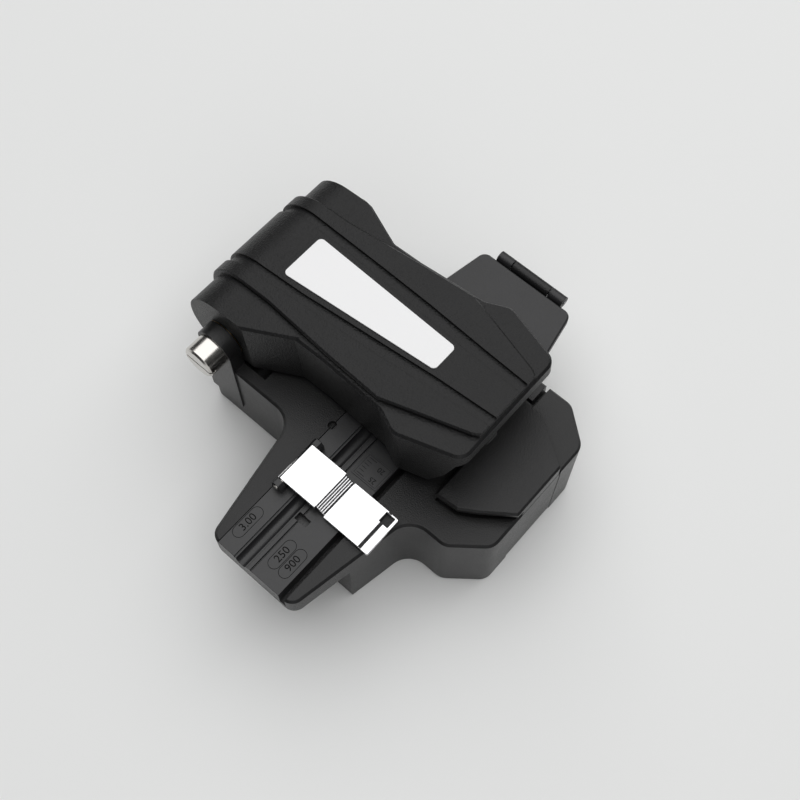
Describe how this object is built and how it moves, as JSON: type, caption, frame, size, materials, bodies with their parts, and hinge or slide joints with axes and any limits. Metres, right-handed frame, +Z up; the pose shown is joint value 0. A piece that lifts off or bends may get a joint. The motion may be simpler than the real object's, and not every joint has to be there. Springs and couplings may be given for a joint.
{
  "type": "fibre cleaver",
  "caption": "Hand-held optical fibre cleaver: press lever over a round blade, fibre holder arm with sheet clamp, and a clip-on scrap bin with a hinged lid.",
  "frame": {"origin": "bottom centre of the bounding box at rest, on the resting plane", "axes": "+X along the fibre from the holder arm to the scrap bin, +Y to the lever hinge, +Z up"},
  "size_m": [0.104, 0.0947, 0.0518],
  "materials": {
    "housing": "fine spark texture, satin",
    "lever_plastic": "leather grain, satin",
    "holder_plastic": "smooth, semi-gloss",
    "lid_plastic": "fine texture",
    "bin_plastic": "translucent light grey",
    "label_white": "smooth white film",
    "rubber": "soft, matte",
    "chrome": "bright plated",
    "nickel": "nickel plated, turned",
    "steel": "fine brushed",
    "screw_steel": "dark zinc",
    "blade_steel": "ground",
    "clamp_aluminium": "milled, bead blasted",
    "bush_brass": "turned"
  },
  "bodies": {
    "housing": {"base_body": "housing", "bottom_plate": "housing", "bottom_screws": "screw_steel", "rubber_feet": "rubber", "fibre_holder": "holder_plastic", "holder_screws": "screw_steel", "clamp_magnet": "nickel", "scale_plate": "holder_plastic", "clamp_pin": "nickel", "blade_cover": "housing", "front_panel": "housing", "lower_clamp_left": "clamp_aluminium", "lower_clamp_right": "clamp_aluminium", "lower_pad_left": "rubber", "lower_pad_right": "rubber", "lower_clamp_screws": "screw_steel", "guide_rail": "steel", "carriage_spring": "steel", "hinge_axle": "nickel", "axle_clip": "steel"},
    "lever": {"lever_shell": "lever_plastic", "lever_label": "label_white", "lever_bumper": "rubber", "hinge_bush_left": "bush_brass", "hinge_bush_right": "bush_brass", "torsion_spring": "steel", "lever_chassis": "steel", "chassis_screws": "screw_steel", "guide_posts": "steel", "yoke_springs": "steel", "anvil": "bush_brass"},
    "upper_clamp": {"clamp_yoke": "steel", "upper_clamp_left": "clamp_aluminium", "upper_clamp_right": "clamp_aluminium", "upper_pad_left": "rubber", "upper_pad_right": "rubber"},
    "sheet_clamp": {"clamp_plate": "chrome", "clamp_pad": "rubber"},
    "carriage": {"blade_carriage": "clamp_aluminium", "blade_screw": "screw_steel"},
    "blade": {"blade_wheel": "blade_steel"},
    "scrap_bin": {"bin_body": "bin_plastic", "bin_hinge_leaf": "housing", "bin_hinge_pin": "nickel"},
    "lid": {"bin_lid": "lid_plastic"}
  },
  "joints": [
    {"name": "lever_hinge", "type": "hinge", "parent": "housing", "child": "lever", "pos_m": [0.00825, 0.03385, 0.033], "axis": [-1, 0, 0], "range_deg": [-4.5, 55], "stiffness_Nm_per_rad": 0.02},
    {"name": "upper_clamp_slide", "type": "slide", "parent": "lever", "child": "upper_clamp", "axis": [0, 0.0785, 0.9969], "range_m": [0, 0.0012], "stiffness_N_per_m": 400, "springref_m": -0.0005, "deforming": ["yoke_springs"]},
    {"name": "sheet_clamp_hinge", "type": "hinge", "parent": "housing", "child": "sheet_clamp", "pos_m": [-0.02655, -0.00045, 0.0285], "axis": [-1, 0, 0], "range_deg": [0, 110]},
    {"name": "carriage_slide", "type": "slide", "parent": "housing", "child": "carriage", "axis": [0, 1, 0], "range_m": [-0.028, 0], "stiffness_N_per_m": 20, "springref_m": 0.01, "deforming": ["carriage_spring"]},
    {"name": "blade_turn", "type": "hinge", "parent": "carriage", "child": "blade", "pos_m": [0.00825, 0.00265, 0.0182], "axis": [1, 0, 0], "continuous": true},
    {"name": "bin_slide", "type": "slide", "parent": "housing", "child": "scrap_bin", "axis": [1, 0, 0], "range_m": [0, 0.025]},
    {"name": "bin_lid_hinge", "type": "hinge", "parent": "scrap_bin", "child": "lid", "pos_m": [0.05035, -0.00935, 0.0256], "axis": [0, 1, 0], "range_deg": [0, 110]}
  ]
}
